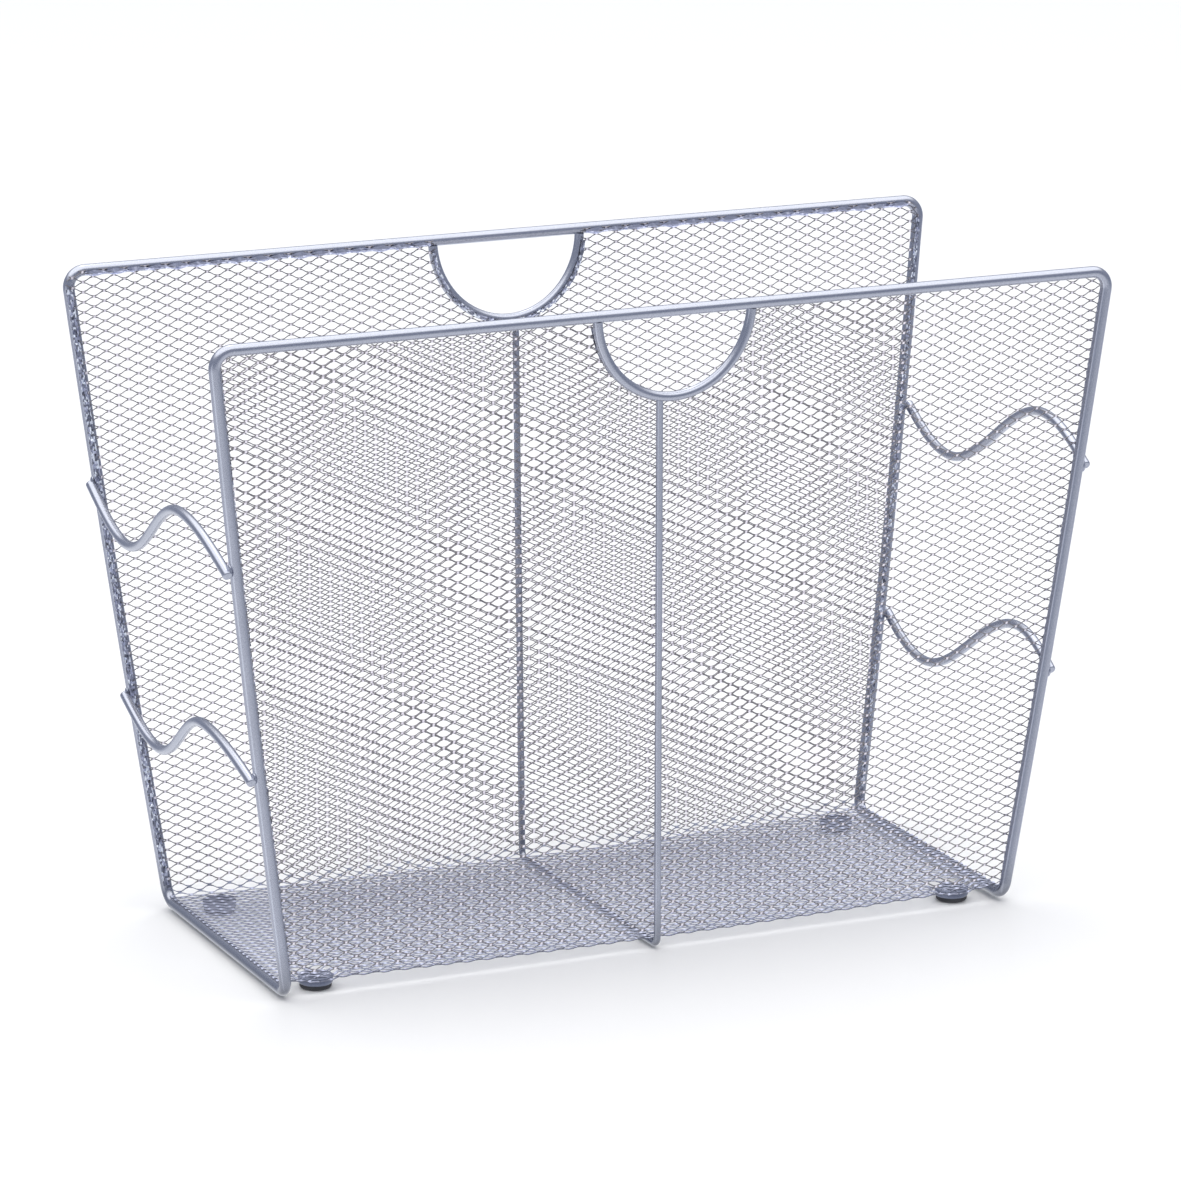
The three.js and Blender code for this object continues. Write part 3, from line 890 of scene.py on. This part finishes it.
# The sheet's pieces part just above the folds; the outer limits lie clear of its edges
SPLIT_V = FOLD_END + 0.5 * MM
TOP_V = RAIL_V + SHEET_EDGE + 1 * MM
HALF_X = TOP_LENGTH / 2 + 2 * MM
ARC_HEM_SEED, UPRIGHT_HEM_SEED, RAIL_HEM_SEED = 21, 31, 51
for panel, v_low, v_high, panel_tones, panel_material in (
    ("front", -TOP_V, -SPLIT_V, PANEL_TONES, SHEET_LACQUER),
    ("base", -SPLIT_V, SPLIT_V, BASE_TONES, SHADED_SHEET_LACQUER),
    ("rear", SPLIT_V, TOP_V, PANEL_TONES, SHEET_LACQUER),
):
    for hand, x_low, x_high in (("left", -HALF_X, 0), ("right", 0, HALF_X)):
        name = f"mesh_{panel}_{hand}"
        mesh_piece(name, v_low, v_high, x_low, x_high, panel_tones, panel_material)
for panel, side in (("front", -1), ("rear", 1)):
    arc_hem(panel, side, ARC_HEM_SEED + side)
    for hand, end in (("left", -1), ("right", 1)):
        upright_hem(panel, side, hand, end, UPRIGHT_HEM_SEED + side + 4 * end)
        rail_hem(panel, side, hand, end, RAIL_HEM_SEED + side + 4 * end)


# ---------------------------------------------------------------- studio
WORLD_STRENGTH = 3.0
WORLD_STOPS = (  # sine of the elevation, and the radiance there
    (-1.0, (1.02, 1.04, 1.09)),
    (-0.45, (0.93, 0.95, 1.0)),
    (-0.15, (0.38, 0.41, 0.5)),
    (0.0, (0.33, 0.36, 0.45)),
    (0.45, (0.38, 0.41, 0.5)),
    (0.6, (1.1, 1.1, 1.12)),
    (0.68, (1.9, 1.9, 1.9)),
    (1.0, (2.0, 2.0, 2.0)),
)
# The ground is brighter behind the object, and a dim strip of light stands at its left end: the
# azimuth as an (x, y) direction, cosines where the glow starts and is full, its radiance, and the
# sines of the elevation where it starts and is full
WORLD_GLOWS = (
    ((0.411, 0.911), 0.2, 0.9, 0.1, 0.0, -0.25),
    ((-0.979, -0.203), 0.95, 0.99, 0.5, 0.1, 0.0),
)
FLOOR_HALF = 12.0
LIGHT_POSITION = (0.25, 1.0, 2.6)
LIGHT_SIZE = 0.5
LIGHT_POWER = 3
CAMERA_POSITION = (-1.01596, -2.25542, 0.7871)
CAMERA_AZIMUTH = math.radians(-24.28)
CAMERA_ELEVATION = math.radians(14.59)
CAMERA_ROLL = math.radians(0.13)
CAMERA_LENS = 179.4


def floor():
    """A plain pale floor, which the metal doesn't reflect: it reflects the world's graded ground."""
    corners = [(x * FLOOR_HALF, y * FLOOR_HALF, 0) for x, y in ((-1, -1), (1, -1), (1, 1), (-1, 1))]
    plane = mesh_object("studio_floor", corners, [(0, 1, 2, 3)], smooth=False)
    material, _, _, shader = new_material("white_floor")
    shader.inputs["Base Color"].default_value = (0.85, 0.85, 0.85, 1)
    shader.inputs["Roughness"].default_value = 0.18
    shader.inputs["Specular IOR Level"].default_value = 0.05
    plane.data.materials.append(material)
    plane.visible_glossy = False


def key_light():
    """One small soft light from above and behind, aimed at the origin."""
    light = bpy.data.lights.new("key_light", "AREA")
    light.shape = "RECTANGLE"
    light.size = light.size_y = LIGHT_SIZE
    light.energy = LIGHT_POWER
    obj = bpy.data.objects.new("key_light", light)
    bpy.context.scene.collection.objects.link(obj)
    obj.location = LIGHT_POSITION
    obj.rotation_euler = (-Vector(LIGHT_POSITION)).to_track_quat("-Z", "Y").to_euler()


def world():
    """A softbox ceiling, a dim bluish horizon and a pale ground, as the metal reflects them.

    The camera itself sees a plain pale backdrop."""
    surroundings = bpy.data.worlds.new("studio")
    bpy.context.scene.world = surroundings
    surroundings.use_nodes = True
    nodes, links = surroundings.node_tree.nodes, surroundings.node_tree.links
    direction = nodes.new("ShaderNodeTexCoord")
    split = nodes.new("ShaderNodeSeparateXYZ")
    links.new(direction.outputs["Generated"], split.inputs["Vector"])
    height = nodes.new("ShaderNodeMapRange")
    height.inputs["From Min"].default_value = -1
    links.new(split.outputs["Z"], height.inputs["Value"])
    ramp = nodes.new("ShaderNodeValToRGB")
    links.new(height.outputs["Result"], ramp.inputs["Fac"])
    stops = ramp.color_ramp.elements
    while len(stops) > 1:
        stops.remove(stops[-1])
    for index, (z, colour) in enumerate(WORLD_STOPS):
        stop = stops[0] if index == 0 else stops.new((z + 1) / 2)
        stop.color = (*(c / WORLD_STRENGTH for c in colour), 1)
    generated = direction.outputs["Generated"]
    flat = math_node(nodes, links, "VectorMath", "MULTIPLY", generated, (1, 1, 0))["Vector"]
    level = nodes.new("ShaderNodeVectorMath")
    level.operation = "NORMALIZE"
    links.new(flat, level.inputs[0])
    colour = ramp.outputs["Color"]
    for azimuth, start, full, radiance, high, low in WORLD_GLOWS:
        towards = (*azimuth, 0)
        facing = math_node(nodes, links, "VectorMath", "DOT_PRODUCT", level.outputs["Vector"], towards)
        strength = radiance / WORLD_STRENGTH
        around = map_range(nodes, links, facing["Value"], 0.0, strength, start, full)
        upward = map_range(nodes, links, split.outputs["Z"], 1.0, 0.0, low, high)
        glow = math_node(nodes, links, "Math", "MULTIPLY", around, upward)["Value"]
        colour = math_node(nodes, links, "VectorMath", "ADD", colour, glow)["Vector"]
    walls = nodes["Background"]
    walls.inputs["Strength"].default_value = WORLD_STRENGTH
    links.new(colour, walls.inputs["Color"])
    backdrop = nodes.new("ShaderNodeBackground")
    backdrop.inputs["Color"].default_value = (1, 1, 1, 1)
    backdrop.inputs["Strength"].default_value = 1.0
    paths = nodes.new("ShaderNodeLightPath")
    mix = nodes.new("ShaderNodeMixShader")
    links.new(paths.outputs["Is Camera Ray"], mix.inputs["Fac"])
    links.new(walls.outputs["Background"], mix.inputs[1])
    links.new(backdrop.outputs["Background"], mix.inputs[2])
    links.new(mix.outputs["Shader"], nodes["World Output"].inputs["Surface"])


def camera():
    data = bpy.data.cameras.new("camera")
    data.sensor_width = 36
    data.lens = CAMERA_LENS
    data.clip_end = 100
    obj = bpy.data.objects.new("camera", data)
    bpy.context.scene.collection.objects.link(obj)
    level = math.cos(CAMERA_ELEVATION)
    forward = Vector((
        -math.sin(CAMERA_AZIMUTH) * level, math.cos(CAMERA_AZIMUTH) * level, -math.sin(CAMERA_ELEVATION)
    ))
    right = Vector((math.cos(CAMERA_AZIMUTH), math.sin(CAMERA_AZIMUTH), 0))
    up = right.cross(forward)
    cosine, sine = math.cos(CAMERA_ROLL), math.sin(CAMERA_ROLL)
    right, up = right * cosine + up * sine, up * cosine - right * sine
    matrix = Matrix((right, up, -forward)).transposed().to_4x4()
    matrix.translation = Vector(CAMERA_POSITION)
    obj.matrix_world = matrix
    bpy.context.scene.camera = obj


floor()
world()
key_light()
camera()
scene = bpy.context.scene
scene.view_settings.view_transform = "Standard"
scene.view_settings.look = "None"
